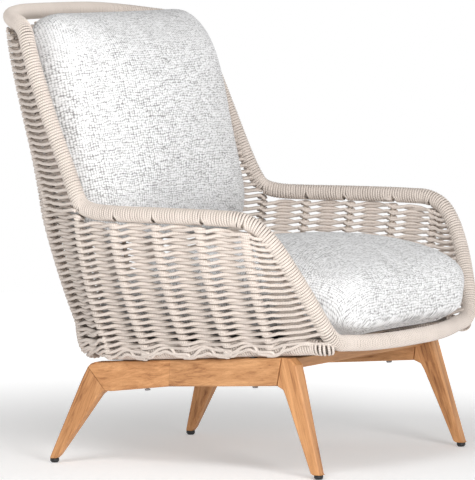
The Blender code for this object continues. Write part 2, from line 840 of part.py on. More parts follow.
def on_back(x, up_along, forward):
    rise = Vector((0, math.sin(BACK_TILT), math.cos(BACK_TILT)))
    out = Vector((0, -math.cos(BACK_TILT), math.sin(BACK_TILT)))
    forward -= BACK_TOP_LEAN * max(0.0, (up_along + back_mid) / BACK_LEN / 0.4 - 1.5) ** 2
    return BACK_FOOT + Vector((x, 0, 0)) + rise * (up_along + back_mid) + out * forward


cushion(
    "back_cushion",
    back_outline,
    -0.5 * BACK_EDGE_T,
    BACK_CROWN * 1.1,
    BACK_EDGE_T,
    BACK_CROWN,
    on_back,
    FABRIC,
)

# The drawing's Y = 0 is at the seat; the part's origin is at the middle of the whole box
for obj in list(collection.objects) + list(helpers.objects):
    obj.matrix_world = Matrix.Translation((0.0, -BOX_MIDDLE_Y, 0.0)) @ obj.matrix_world
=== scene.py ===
"""Looks for the outdoor lounge armchair: rope wraps, woven panels, teak base and two soft cushions.

Metres, +Z up. The chair faces -Y and is symmetric about X = 0.
"""

import math

import bmesh
import bpy
import numpy as np
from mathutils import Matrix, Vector


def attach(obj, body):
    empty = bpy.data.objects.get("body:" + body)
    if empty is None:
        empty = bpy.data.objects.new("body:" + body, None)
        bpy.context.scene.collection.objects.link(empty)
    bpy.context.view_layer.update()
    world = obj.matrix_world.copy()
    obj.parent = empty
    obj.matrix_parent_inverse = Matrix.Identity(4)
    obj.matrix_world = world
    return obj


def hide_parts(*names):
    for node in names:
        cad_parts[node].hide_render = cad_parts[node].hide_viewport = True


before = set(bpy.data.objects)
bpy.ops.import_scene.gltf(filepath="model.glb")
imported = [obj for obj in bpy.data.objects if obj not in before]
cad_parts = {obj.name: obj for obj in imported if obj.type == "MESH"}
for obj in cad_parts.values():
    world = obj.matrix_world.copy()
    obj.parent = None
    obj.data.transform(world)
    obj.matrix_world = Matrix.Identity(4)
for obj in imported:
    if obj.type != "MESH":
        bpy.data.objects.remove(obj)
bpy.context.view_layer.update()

# ---------------------------------------------------------------- sizes shared with the CAD

WRAP_PITCH = 0.00575  # from one turn of a wrap to the next
WRAP_CORD_R = 0.00300
WRAP_CENTRE_R = 0.0139  # from the middle of a tube to the middle of the cord round it
WRAP_FLAT = 0.95
WRAP_NOTCH = 0.0042  # how far a rib pushes the turns apart under the arm
ROPE_R = 0.00355
RIB_R = 0.0045
COURSE = 0.01325  # from one woven row to the next
RING_CLEAR = 0.0203
RING_LOW = 0.0140  # the lowest row's height against the middle of the seat ring
BOX_MIDDLE_Y = 0.0533  # points are listed in the drawing's frame, which is this far behind the part's
CURL_H = 0.28  # below this height the back panel curls in to the seat ring
LOW_H = 0.20

RIM_FRONT = [
    (0.0, -0.3655, 0.2610),
    (0.110, -0.3600, 0.2610),
    (0.200, -0.3450, 0.2622),
    (0.262, -0.3345, 0.2655),
    (0.308, -0.3320, 0.2705),
]
RIM_DESCENT = [
    (0.336, -0.3290, 0.2850),
    (0.3575, -0.3205, 0.3130),
    (0.3857, -0.2990, 0.3690),
    (0.4093, -0.2765, 0.4195),
    (0.4283, -0.2490, 0.4690),
    (0.4385, -0.2230, 0.4990),
]
RIM_ARM = [
    (0.4455, -0.1880, 0.5155),
    (0.4475, -0.1400, 0.5185),
    (0.4430, 0.0040, 0.5200),
    (0.4310, 0.1050, 0.5205),
    (0.4170, 0.1600, 0.5240),
]
RIM_BACK = [
    (0.4075, 0.1890, 0.5350),
    (0.4025, 0.2060, 0.5620),
    (0.3985, 0.2215, 0.5960),
    (0.3962, 0.2574, 0.6800),
    (0.3915, 0.2890, 0.7580),
    (0.3850, 0.3105, 0.8110),
    (0.3765, 0.3260, 0.8480),
]
RIM_TOP = [
    (0.3640, 0.3400, 0.8755),
    (0.3420, 0.3620, 0.8905),
    (0.3000, 0.4015, 0.8995),
    (0.2400, 0.4421, 0.9078),
    (0.1600, 0.4653, 0.9132),
    (0.0800, 0.4717, 0.9144),
    (0.0, 0.4725, 0.9144),
]
RING_PLAN = [
    (0.3300, -0.2930),
    (0.3220, -0.2000),
    (0.3110, -0.1000),
    (0.2990, 0.0000),
    (0.2850, 0.1000),
    (0.2740, 0.1550),
    (0.2580, 0.1960),
    (0.2260, 0.2210),
    (0.1800, 0.2280),
    (0.0900, 0.2280),
    (0.0, 0.2280),
]
SIDE_FOOT_X = [
    (-0.293, 0.330),
    (-0.2, 0.322),
    (-0.1, 0.310),
    (0.0, 0.297),
    (0.1, 0.283),
    (0.193, 0.272),
]
BACK_SECTION = [
    (0.28, 0.331),
    (0.372, 0.353),
    (0.56, 0.399),
    (0.765, 0.441),
    (0.86, 0.4605),
    (0.914, 0.4725),
]
CURL = [
    (0.0, 0.0, 0.28),
    (0.22, 0.03, 0.258),
    (0.42, 0.15, 0.240),
    (0.58, 0.32, 0.230),
    (0.78, 0.62, 0.2235),
    (1.0, 1.0, 0.2235),
]
BACK_TOP = [
    (0.0, 0.8955),
    (0.27, 0.8950),
    (0.54, 0.8925),
    (0.81, 0.8790),
    (0.93, 0.8560),
    (1.0, 0.8350),
]
RIB_Y = [0.190, 0.098, -0.002, -0.101, -0.200]
BACK_Q = [0.0, 0.27, 0.54, 0.81, 1.0]


# ---------------------------------------------------------------- curves and tables


PATH_STEPS = 8


def smooth_path(points, steps=PATH_STEPS, closed=False):
    """A rounded path through the points, as an array."""
    pts = np.array(points, float)
    n = len(pts)
    out = []
    for i in range(n if closed else n - 1):
        p1 = pts[i]
        p2 = pts[(i + 1) % n]
        p0 = pts[i - 1] if closed or i > 0 else 2 * p1 - p2
        p3 = pts[(i + 2) % n] if closed or i + 2 < n else 2 * p2 - p1
        d0, d1, d2 = (math.sqrt(max(np.linalg.norm(d), 1e-9)) for d in (p1 - p0, p2 - p1, p3 - p2))
        m1 = ((p2 - p1) / d1 - (p2 - p0) / (d0 + d1) + (p1 - p0) / d0) * d1
        m2 = ((p3 - p2) / d2 - (p3 - p1) / (d1 + d2) + (p2 - p1) / d1) * d1
        t = np.arange(steps)[:, None] / steps
        out.append(
            (2 * t**3 - 3 * t**2 + 1) * p1
            + (t**3 - 2 * t**2 + t) * m1
            + (3 * t**2 - 2 * t**3) * p2
            + (t**3 - t**2) * m2
        )
    if not closed:
        out.append(pts[-1:])
    return np.concatenate(out)


def reader(keys):
    """A function that reads (x, value) keys as a smooth curve, held at its ends."""
    path = smooth_path(sorted(keys), 10)
    path = path[np.argsort(path[:, 0])]
    return lambda x: np.interp(x, path[:, 0], path[:, 1])


def read_points(at, stations, points):
    """The rows of points read at these places along their stations."""
    return np.stack([np.interp(at, stations, points[:, k]) for k in range(3)], -1)


def lengths_of(path):
    steps = np.linalg.norm(np.diff(path, axis=0), axis=1)
    return np.concatenate([[0.0], np.cumsum(steps)])


def unit(v):
    return v / np.maximum(np.linalg.norm(v, axis=-1, keepdims=True), 1e-12)


def tangents_of(path, closed=False):
    if closed:
        return unit(np.roll(path, -1, 0) - np.roll(path, 1, 0))
    return unit(np.gradient(path, axis=0))


def carried_frames(path, closed=False):
    """Side and up vectors carried along the path without twist."""
    t = tangents_of(path, closed)
    n = len(path)
    up = np.array([0, 0, 1.0]) if abs(t[0][2]) < 0.8 else np.array([0, 1.0, 0])
    side = np.zeros_like(t)
    side[0] = unit(np.cross(t[0], up))
    for i in range(1, n):
        s = side[i - 1] - t[i] * side[i - 1].dot(t[i])
        side[i] = s / np.linalg.norm(s)
    if closed:
        s = unit(side[-1] - t[0] * side[-1].dot(t[0]))
        twist = math.atan2(np.cross(s, side[0]).dot(t[0]), s.dot(side[0]))
        turn = (twist * np.arange(n) / n)[:, None]
        side = side * np.cos(turn) + np.cross(t, side) * np.sin(turn)
    return t, side, np.cross(t, side)


# ---------------------------------------------------------------- the shell's surface

arm_x = reader([(p[1], p[0]) for p in RIM_DESCENT[-1:] + RIM_ARM + RIM_BACK[:1]])
ring_x = reader([(p[1], p[0]) for p in RING_PLAN[:7]])
foot_x = reader(SIDE_FOOT_X)
post_x = reader([(p[2], p[0]) for p in RIM_FRONT[-1:] + RIM_DESCENT])
post_y = reader([(p[2], p[1]) for p in RIM_FRONT[-1:] + RIM_DESCENT])
tube_x = reader([(p[2], p[0]) for p in RIM_BACK + RIM_TOP[:3]])
tube_y = reader([(p[2], p[1]) for p in RIM_BACK + RIM_TOP[:3]])
middle_y = reader(BACK_SECTION)
curl_share = reader([(k[0], k[1]) for k in CURL])
curl_z = reader([(k[0], k[2]) for k in CURL])
back_top_q, back_top_h = (np.array(v) for v in zip(*BACK_TOP))
ring_rear = smooth_path(RING_PLAN)[::-1][: 6 * PATH_STEPS]
ring_rear_len = lengths_of(ring_rear)


RAIL_TOP_Z, RAIL_SLOPE, RING_ABOVE_RAIL = 0.2218, -0.0705, 0.0187
SIDE_TOP_Z = 0.505  # where the side panel meets the arm
SIDE_FOOT_DROP = 0.0157


def ring_z(y):
    """Height of the seat ring's middle, which slopes with the rails."""
    return RAIL_TOP_Z + RAIL_SLOPE * y + RING_ABOVE_RAIL


def side_x(y, z):
    """How far out the side panel is: it bulges between its foot at the ring and the arm."""
    foot = foot_x(y)
    arm = arm_x(y) + 0.006
    foot_z = ring_z(y) - SIDE_FOOT_DROP
    s = np.clip((z - foot_z) / (SIDE_TOP_Z - foot_z), 0.0, 1.0)
    return foot + (arm - foot) * (1 - (1 - s) ** 1.5)


def around_ring(length, outset):
    """Plan point this far round the rear of the ring from its middle, moved outwards."""
    step = 0.002

    def plan(at):
        return [np.interp(at, ring_rear_len, ring_rear[:, k]) for k in (0, 1)]

    x, y = plan(length)
    dx, dy = (b - a for a, b in zip(plan(length - step), plan(length + step)))
    size = np.hypot(dx, dy)
    return x - dy / size * outset, y + dx / size * outset


def ease(t):
    t = np.clip(t, 0.0, 1.0)
    return t * t * (3 - 2 * t)


def edge_of_back(z):
    """Plan point of the back panel's edge: the rearmost side rib, then the back post above the arm."""
    s = ease((z - 0.50) / 0.06)
    low_x = side_x(RIB_Y[0], np.minimum(z, 0.51))
    return low_x + (tube_x(z) - low_x) * s, RIB_Y[0] + (tube_y(z) - RIB_Y[0]) * s


def back_surface(q, h):
    """Points of the back panel. q is 0 in the middle and 1 at the edge."""
    z = np.maximum(h, CURL_H)
    wide, edge_y = edge_of_back(z)
    mid = middle_y(z)
    x = q * wide
    y = mid - (mid - edge_y) * np.abs(q) ** 4
    t = np.clip((CURL_H - h) / (CURL_H - LOW_H), 0.0, 1.0)
    share = curl_share(t)
    end_x, end_y = around_ring(np.abs(q) * 0.270, 0.0240)
    x = x + (np.sign(q) * end_x - x) * share
    y = y + (end_y - y) * share
    z = np.where(h < CURL_H, curl_z(t), z)
    return np.stack([x, y, z], -1)


# ---------------------------------------------------------------- mesh making


class Strands:
    """Many round cords in one mesh, with a UV map that holds metres along the cord and the turn round it."""

    def __init__(self):
        self.verts = []
        self.faces = []
        self.uvs = []
        self.caps = []
        self.count = 0

    def add(self, path, normal, radius, sides=7, flat=1.0, start=0.0):
        """One cord. normal steadies its section; flat squeezes it along that normal."""
        path = np.asarray(path, float)
        n = len(path)
        t = tangents_of(path)
        up = unit(normal - t * np.sum(normal * t, -1, keepdims=True))
        side = np.cross(t, up)
        a = 2 * math.pi * np.arange(sides) / sides
        ring = (
            path[:, None, :]
            + side[:, None, :] * (radius * np.cos(a))[None, :, None]
            + up[:, None, :] * (radius * flat * np.sin(a))[None, :, None]
        )
        self.verts.append(ring.reshape(-1, 3))
        i = np.arange(n - 1)[:, None] * sides
        k = np.arange(sides)[None, :]
        m = (k + 1) % sides
        base = self.count
        quads = np.stack([i + k, i + m, i + sides + m, i + sides + k], -1) + base
        self.faces.append(quads.reshape(-1, 4))
        along = lengths_of(path) + start
        u0, u1, v0 = np.broadcast_arrays(along[:-1, None], along[1:, None], k / sides)
        v1 = v0 + 1 / sides
        corners = [np.stack(c, -1) for c in ((u0, v0), (u0, v1), (u1, v1), (u1, v0))]
        self.uvs.append(np.stack(corners, 2).reshape(-1, 2))
        self.caps.append(np.arange(sides)[::-1] + base)
        self.caps.append(np.arange(sides) + base + (n - 1) * sides)
        self.count += n * sides

    def build(self, name, material):
        verts = np.concatenate(self.verts) - np.array([0.0, BOX_MIDDLE_Y, 0.0])
        quads = np.concatenate(self.faces)
        uvs = np.concatenate(self.uvs)
        mesh = bpy.data.meshes.new(name)
        mesh.vertices.add(len(verts))
        mesh.vertices.foreach_set("co", verts.astype(np.float32).ravel())
        corner_verts = [quads.ravel()] + self.caps
        starts = np.arange(len(quads)) * 4
        totals = np.full(len(quads), 4)
        cap_sizes = np.array([len(c) for c in self.caps])
        cap_starts = len(quads) * 4 + np.concatenate([[0], np.cumsum(cap_sizes)[:-1]])
        corners = np.concatenate(corner_verts)
        mesh.loops.add(len(corners))
        mesh.loops.foreach_set("vertex_index", corners.astype(np.int32))
        mesh.polygons.add(len(quads) + len(self.caps))
        mesh.polygons.foreach_set("loop_start", np.concatenate([starts, cap_starts]).astype(np.int32))
        mesh.polygons.foreach_set("loop_total", np.concatenate([totals, cap_sizes]).astype(np.int32))
        mesh.update(calc_edges=True)
        layer = mesh.uv_layers.new(name="cord")
        all_uv = np.zeros((len(corners), 2), np.float32)
        all_uv[: len(uvs)] = uvs
        layer.data.foreach_set("uv", all_uv.ravel())
        mesh.polygons.foreach_set("use_smooth", np.ones(len(mesh.polygons), bool))
        mesh.materials.append(material)
        mesh.validate()
        return linked(name, mesh)


def linked(name, data):
    """A new object in the scene with this mesh, lamp or camera."""
    obj = bpy.data.objects.new(name, data)
    bpy.context.scene.collection.objects.link(obj)
    return obj


def mesh_object(name, verts, faces, material, smooth=True):
    mesh = bpy.data.meshes.new(name)
    mesh.from_pydata([(x, y - BOX_MIDDLE_Y, z) for x, y, z in verts], [], faces)
    tidy = bmesh.new()
    tidy.from_mesh(mesh)
    bmesh.ops.recalc_face_normals(tidy, faces=tidy.faces)
    tidy.to_mesh(mesh)
    tidy.free()
    for face in mesh.polygons:
        face.use_smooth = smooth
    mesh.materials.append(material)
    return linked(name, mesh)


def stand_in(piece, body, node):
    """Puts a visual piece on its body, in place of a CAD node, which it hides."""
    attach(piece, body)
    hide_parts(node)


# ---------------------------------------------------------------- materials


class Nodes:
    """Short hand for building a node material."""

    def __init__(self, name):
        self.mat = bpy.data.materials.new(name)
        self.mat.use_nodes = True
        self.tree = self.mat.node_tree
        self.shader = self.tree.nodes["Principled BSDF"]

    def add(self, kind, **settings):
        made = self.tree.nodes.new(kind)
        for key, value in settings.items():
            setattr(made, key, value)
        return made

    def link(self, a, b):
        self.tree.links.new(a, b)

    def value(self, socket, number):
        if isinstance(number, (int, float)):
            socket.default_value = number
        elif isinstance(number, (tuple, list)):
            socket.default_value = number
        else:
            self.link(number, socket)

    def math(self, op, a, b=0.0, clamp=False):
        made = self.add("ShaderNodeMath", operation=op, use_clamp=clamp)
        self.value(made.inputs[0], a)
        self.value(made.inputs[1], b)
        return made.outputs[0]

    def mapping(self, vector, scale=(1, 1, 1), location=(0, 0, 0)):
        made = self.add("ShaderNodeMapping")
        self.link(vector, made.inputs["Vector"])
        made.inputs["Scale"].default_value = scale
        made.inputs["Location"].default_value = location
        return made.outputs[0]

    def noise(self, vector, scale, detail=2.0, rough=0.5, distortion=0.0):
        made = self.add("ShaderNodeTexNoise")
        self.link(vector, made.inputs["Vector"])
        made.inputs["Scale"].default_value = scale
        made.inputs["Detail"].default_value = detail
        made.inputs["Roughness"].default_value = rough
        made.inputs["Distortion"].default_value = distortion
        return made.outputs["Fac"]

    def ramp(self, value, stops):
        made = self.add("ShaderNodeValToRGB")
        self.link(value, made.inputs[0])
        elements = made.color_ramp.elements
        while len(elements) < len(stops):
            elements.new(0.5)
        for element, (place, colour) in zip(elements, stops):
            element.position = place
            element.color = (*colour, 1.0)
        return made.outputs[0]

    def multiply(self, a, b):
        made = self.add("ShaderNodeMix", data_type="RGBA", blend_type="MULTIPLY")
        made.inputs[0].default_value = 1.0
        self.link(a, made.inputs[6])
        self.link(b, made.inputs[7])
        return made.outputs[2]

    def bump(self, height, strength, distance):
        """Roughens the surface by a height, and links it in."""
        made = self.add("ShaderNodeBump")
        self.link(height, made.inputs["Height"])
        made.inputs["Strength"].default_value = strength
        made.inputs["Distance"].default_value = distance
        self.link(made.outputs[0], self.shader.inputs["Normal"])

    def colour(self, socket):
        self.link(socket, self.shader.inputs["Base Color"])

    def finish(self, **values):
        """Sets the shader's constant inputs, named in lower case with underscores."""
        for key, number in values.items():
            self.shader.inputs[SOCKETS[key]].default_value = number
        return self.mat


SOCKETS = {
    "roughness": "Roughness",
    "specular": "Specular IOR Level",
    "metallic": "Metallic",
    "sheen": "Sheen Weight",
    "sheen_roughness": "Sheen Roughness",
}


BRAID_LENGTH, BRAID_STRANDS = 0.0068, 3
YARN_WIDE, YARN_HIGH = 0.0076, 0.0052


def rope_material(name, light, dark, crevice_shade=0.0):
    """Braided cord: crossing strands along the cord, with a soft change of tone from length to length.

    The crevice amount paints shade on the flanks of the cord, where each turn of a wrap meets the next.
    """
    m = Nodes(name)
    uv = m.add("ShaderNodeUVMap", uv_map="cord").outputs[0]
    split = m.add("ShaderNodeSeparateXYZ")
    m.link(uv, split.inputs[0])
    along = m.math("MULTIPLY", split.outputs[0], 2 * math.pi / BRAID_LENGTH)
    around = m.math("MULTIPLY", split.outputs[1], 2 * math.pi * BRAID_STRANDS)
    one = m.math("SINE", m.math("ADD", along, around))
    two = m.math("SINE", m.math("SUBTRACT", along, around))
    braid = m.math("MULTIPLY", m.math("ADD", m.math("MULTIPLY", one, two), 1.0), 0.5)
    place = m.add("ShaderNodeTexCoord").outputs["Object"]
    fibres = m.noise(m.mapping(uv, scale=(900, 26, 1)), 1.0, 2.0, 0.6)
    tone = m.noise(place, 26.0, 2.0, 0.6)
    slow = m.noise(m.mapping(uv, scale=(9, 0, 1)), 1.0, 1.0, 0.5)
    shade = m.math("ADD", m.math("MULTIPLY", braid, 0.62), m.math("MULTIPLY", fibres, 0.38))
    shade = m.math("ADD", shade, m.math("MULTIPLY", m.math("SUBTRACT", tone, 0.5), 0.30))
    shade = m.math("ADD", shade, m.math("MULTIPLY", m.math("SUBTRACT", slow, 0.5), 0.35))
    # Painted shade: the cord is darker on its flanks, where the turns of a wrap shade each other
    if crevice_shade:
        outward = m.math("SINE", m.math("MULTIPLY", split.outputs[1], 2 * math.pi))
        flank_shade = m.math("POWER", m.math("SUBTRACT", 1.0, outward, clamp=True), 2.0)
        shade = m.math("SUBTRACT", shade, m.math("MULTIPLY", flank_shade, crevice_shade))
    lightest = tuple(min(1.0, c * 1.06) for c in light)
    m.colour(m.ramp(shade, [(0.05, dark), (0.42, light), (1.0, lightest)]))
    height = m.math("ADD", m.math("MULTIPLY", braid, 0.7), m.math("MULTIPLY", fibres, 0.3))
    m.bump(height, 0.55, 0.0006)
    return m.finish(roughness=0.82, specular=0.22, sheen=0.12, sheen_roughness=0.5)


def paint_material(name, colour):
    m = Nodes(name)
    place = m.add("ShaderNodeTexCoord").outputs["Object"]
    fleck = m.noise(place, 900.0, 2.0, 0.6)
    worn = m.noise(place, 14.0, 3.0, 0.6)
    m.colour(m.ramp(worn, [(0.3, tuple(c * 0.90 for c in colour)), (0.7, colour)]))
    m.bump(fleck, 0.25, 0.0002)
    return m.finish(roughness=0.48, metallic=0.15)


def teak_material(name, grain, tint, seed):
    """Oiled teak with its grain along the given direction."""
    m = Nodes(name)
    place = m.add("ShaderNodeTexCoord").outputs["Object"]
    to_x = Vector(grain).normalized().rotation_difference(Vector((1, 0, 0)))
    turned = m.add("ShaderNodeVectorRotate", rotation_type="EULER_XYZ")
    m.link(place, turned.inputs["Vector"])
    turned.inputs["Rotation"].default_value = to_x.to_euler()
    shifted = m.mapping(turned.outputs[0], location=(seed * 0.37, seed * 0.21, seed * 0.53))
    wander = m.noise(m.mapping(shifted, scale=(5, 22, 22)), 1.0, 3.0, 0.55)
    bands = m.noise(m.mapping(shifted, scale=(3.2, 70, 70)), 1.0, 4.0, 0.6, 0.9)
    pores = m.noise(m.mapping(shifted, scale=(60, 1300, 1300)), 1.0, 3.0, 0.7)
    fine = m.noise(m.mapping(shifted, scale=(16, 330, 330)), 1.0, 4.0, 0.65, 0.4)
    value = m.math("ADD", m.math("MULTIPLY", bands, 0.46), m.math("MULTIPLY", fine, 0.30))
    value = m.math("ADD", value, m.math("MULTIPLY", wander, 0.24))
    tones = ((0.36, (0.215, 0.080, 0.028)), (0.46, (0.455, 0.215, 0.085)), (0.60, (0.620, 0.325, 0.145)))
    wood = m.ramp(value, [(stop, tuple(c * t for c, t in zip(tone, tint))) for stop, tone in tones])
    streak = m.math("SUBTRACT", 1.0, m.math("MULTIPLY", m.math("GREATER_THAN", pores, 0.64), 0.30))
    m.colour(m.multiply(wood, m.ramp(streak, [(0.0, (0.0, 0.0, 0.0)), (1.0, (1.0, 1.0, 1.0))])))
    m.bump(m.math("ADD", fine, m.math("MULTIPLY", pores, 0.5)), 0.20, 0.0004)
    rough = m.math("ADD", 0.42, m.math("MULTIPLY", fine, 0.20))
    m.link(rough, m.shader.inputs["Roughness"])
    return m.finish(specular=0.4)


def cloth_material(name):
    """Nubby basket weave in pale grey, with darker flecks between the yarns and slubs along them."""
    m = Nodes(name)
    uv = m.add("ShaderNodeUVMap", uv_map="weave").outputs[0]
    place = m.add("ShaderNodeTexCoord").outputs["Object"]
    wobble = m.add("ShaderNodeTexNoise", noise_dimensions="3D")
    m.link(place, wobble.inputs["Vector"])
    wobble.inputs["Scale"].default_value = 34.0
    wobble.inputs["Detail"].default_value = 1.0
    shift = m.add("ShaderNodeVectorMath", operation="MULTIPLY_ADD")
    m.link(wobble.outputs["Color"], shift.inputs[0])
    shift.inputs[1].default_value = (0.0040, 0.0110, 0.0)
    m.link(uv, shift.inputs[2])
    grid = shift.outputs[0]
    cells = m.add("ShaderNodeTexVoronoi", voronoi_dimensions="2D", feature="F1")
    m.link(m.mapping(grid, scale=(1 / YARN_WIDE, 1 / YARN_HIGH, 1)), cells.inputs["Vector"])
    cells.inputs["Scale"].default_value = 1.0
    cells.inputs["Randomness"].default_value = 0.36
    nubs = m.math("SUBTRACT", 1.0, m.math("MULTIPLY", cells.outputs["Distance"], 1.35), clamp=True)
    yarn = m.add("ShaderNodeSeparateColor")
    m.link(cells.outputs["Color"], yarn.inputs[0])
    tone = yarn.outputs[0]
    slub = m.noise(m.mapping(grid, scale=(22, 230, 1)), 1.0, 2.0, 0.6)
    speck = m.noise(place, 520.0, 2.0, 0.7)
    broad = m.noise(place, 18.0, 2.0, 0.5)
    level = m.math("ADD", m.math("MULTIPLY", nubs, 0.46), m.math("MULTIPLY", tone, 0.14))
    level = m.math("ADD", level, m.math("MULTIPLY", slub, 0.42))
    level = m.math("ADD", level, m.math("MULTIPLY", speck, 0.10))
    level = m.math("ADD", level, m.math("MULTIPLY", m.math("SUBTRACT", broad, 0.5), 0.10))
    m.colour(
        m.ramp(
            level,
            [
                (0.34, (0.24, 0.235, 0.235)),
                (0.48, (0.56, 0.555, 0.555)),
                (0.60, (0.80, 0.80, 0.805)),
                (0.76, (0.89, 0.89, 0.895)),
            ],
        )
    )
    height = m.math("ADD", m.math("MULTIPLY", nubs, 0.8), m.math("MULTIPLY", speck, 0.5))
    m.bump(height, 0.8, 0.0012)
    return m.finish(roughness=0.95, specular=0.12, sheen=0.20, sheen_roughness=0.6)


def plain_material(name, colour, rough, metal=0.0):
    m = Nodes(name)
    place = m.add("ShaderNodeTexCoord").outputs["Object"]
    mottled = m.noise(place, 160.0, 3.0, 0.6)
    low, high = (tuple(min(1, c * k) for c in colour) for k in (0.8, 1.15))
    m.colour(m.ramp(mottled, [(0.3, low), (0.7, high)]))
    m.bump(mottled, 0.15, 0.0003)
    return m.finish(roughness=rough, metallic=metal)


CORD_LIGHT, CORD_DARK = (0.680, 0.603, 0.545), (0.300, 0.250, 0.210)
ROPE = rope_material("rope", CORD_LIGHT, CORD_DARK)
# The wraps' rope has painted shade on the flanks of its turns
WRAP = rope_material("wrap_rope_crevice_shade", CORD_LIGHT, CORD_DARK, crevice_shade=0.55)
PAINT = paint_material("powder_coat", (0.600, 0.520, 0.440))
CLOTH = cloth_material("upholstery")
BLACK = plain_material("black_plastic", (0.012, 0.012, 0.013), 0.5)
RUBBER = plain_material("rubber", (0.02, 0.02, 0.02), 0.8)
STEEL = plain_material("stainless", (0.30, 0.30, 0.31), 0.50, 1.0)
# Painted shade: the seat deck is given a near-black colour so that the weave's holes look as dark as the shade
# inside the seat
DECK_PAINTED_SHADE = plain_material("deck_cloth_painted_shade", (0.110, 0.098, 0.088), 0.9)


# ---------------------------------------------------------------- wraps

rim_half = RIM_FRONT + RIM_DESCENT + RIM_ARM + RIM_BACK + RIM_TOP
rim_keys = rim_half + [(-p[0], p[1], p[2]) for p in reversed(rim_half[1:-1])]
rim_path = smooth_path(rim_keys, closed=True)
rim_frames = carried_frames(rim_path, closed=True)
TURN_STEPS = 16
WRAP_JITTER, WRAP_SWELL = 0.00010, 0.00008


def helix(path, frames, first, last, notches=()):
    """A cord wound side by side round the path between two of its stations, and the way it faces."""
    index = np.arange(first, last + 1) % len(path)
    pts = path[index]
    _, s, u = (f[index] for f in frames)
    along = lengths_of(pts)
    turns = max(1, round(along[-1] / WRAP_PITCH))
    count = turns * TURN_STEPS + 1
    where = np.linspace(0, along[-1], count)
    angle = 2 * math.pi * np.arange(count) / TURN_STEPS
    waves = np.sin(where * 190.0) + np.sin(where * 83.0 + 1.0) + np.sin(where * 611.0 + 2.0)
    where = where + WRAP_JITTER * waves * np.clip(np.minimum(where, along[-1] - where) / 0.004, 0, 1)
    side = unit(read_points(where, along, s))
    up = unit(read_points(where, along, u))
    direction = side * np.cos(angle)[:, None] + up * np.sin(angle)[:, None]
    for notch in notches:
        notch_at = along[np.argmin(np.linalg.norm(pts - notch, axis=1))]
        below = np.clip((-direction[:, 2] - 0.10) / 0.5, 0, 1)
        away = where - notch_at
        near = np.exp(-((away / 0.012) ** 2))
        where = where + np.sign(away) * WRAP_NOTCH * near * below
    radius = WRAP_CENTRE_R + WRAP_SWELL * np.sin(where * 500.0)
    return read_points(where, along, pts) + direction * radius[:, None], direction


def add_wrap(node, path, frames, first, last, notches=()):
    cord, direction = helix(path, frames, first, last, notches)
    strands = Strands()
    strands.add(cord, direction, WRAP_CORD_R, sides=7, flat=WRAP_FLAT)
    stand_in(strands.build(node + "_rope", WRAP), "chair", node)


post_at = len(RIM_FRONT)
arm_at = post_at + len(RIM_DESCENT)
back_at = arm_at + len(RIM_ARM)
top_at = back_at + len(RIM_BACK) - 1
whole = len(rim_keys)
SPANS = (
    ("wrap_front_rail", -post_at, post_at),
    ("wrap_front_post_right", post_at, arm_at),
    ("wrap_arm_right", arm_at, back_at),
    ("wrap_back_post_right", back_at, top_at),
    ("wrap_top_rail", top_at, whole - top_at),
    ("wrap_back_post_left", whole - top_at, whole - back_at),
    ("wrap_arm_left", whole - back_at, whole - arm_at),
    ("wrap_front_post_left", whole - arm_at, whole - post_at),
)
for name, first, last in SPANS:
    # The ribs come up to the arms, and the foremost one pushes into the front post's wrap too
    ribs = RIB_Y if "arm" in name else RIB_Y[-1:] if "front_post" in name else []
    side = 1 if "_right" in name else -1
    notches = [np.array([side * arm_x(y), y, 0.519]) for y in ribs]
    add_wrap(name, rim_path, rim_frames, first * PATH_STEPS, last * PATH_STEPS, notches)

# The end of the seat ring's wrap bends out to meet the rim
RING_TO_RIM = [(0.3180, -0.3270, 0.2620), (0.3270, -0.3180, 0.2600), (0.3310, -0.3060, 0.2606)]
ring_right = RING_TO_RIM + [(x, y, ring_z(y)) for x, y in RING_PLAN]
ring_keys = ring_right + [(-p[0], p[1], p[2]) for p in reversed(ring_right[:-1])]
ring_path = smooth_path(ring_keys)
add_wrap("wrap_seat_ring", ring_path, carried_frames(ring_path), 0, len(ring_path) - 1)


# ---------------------------------------------------------------- woven courses

STEPS_PER_BAY = 14
OUT_D = RIB_R + ROPE_R  # a rope that winds round a rib
IN_D = OUT_D + 0.0034  # a rope that passes inside that winding
POST_D = 0.0112  # a rope beside an edge tube
RISE_H = 0.0031  # how far a rope rises or falls past a rib
CROSS_H = 0.0034  # how far the two ropes part where they change places
ROW_TOP = 0.4960
LOOP_FROM, LOOP_TO, LOOP_STEPS = -14.0, 374.0, 15  # degrees round the rib
BAY_STEPS = 15
SIDE_COURSES = 22
ROW_LOWEST = ROW_TOP - (SIDE_COURSES - 1) * COURSE
ABOVE = 0.006  # how far up the panel a row looks to find which way is up
ROPE_SIDES = 8
# Height of a rope against its course, from one rib to the next towards the front
BAY_F = [0.0, 0.10, 0.20, 0.5, 0.80, 0.90, 1.0]
BAY_H = [-RISE_H, -0.0024, -0.0006, 0.0004, -0.0006, 0.0020, RISE_H]


def q_of(w):
    return np.interp(w, [0, 1, 2, 3, 4], BACK_Q)


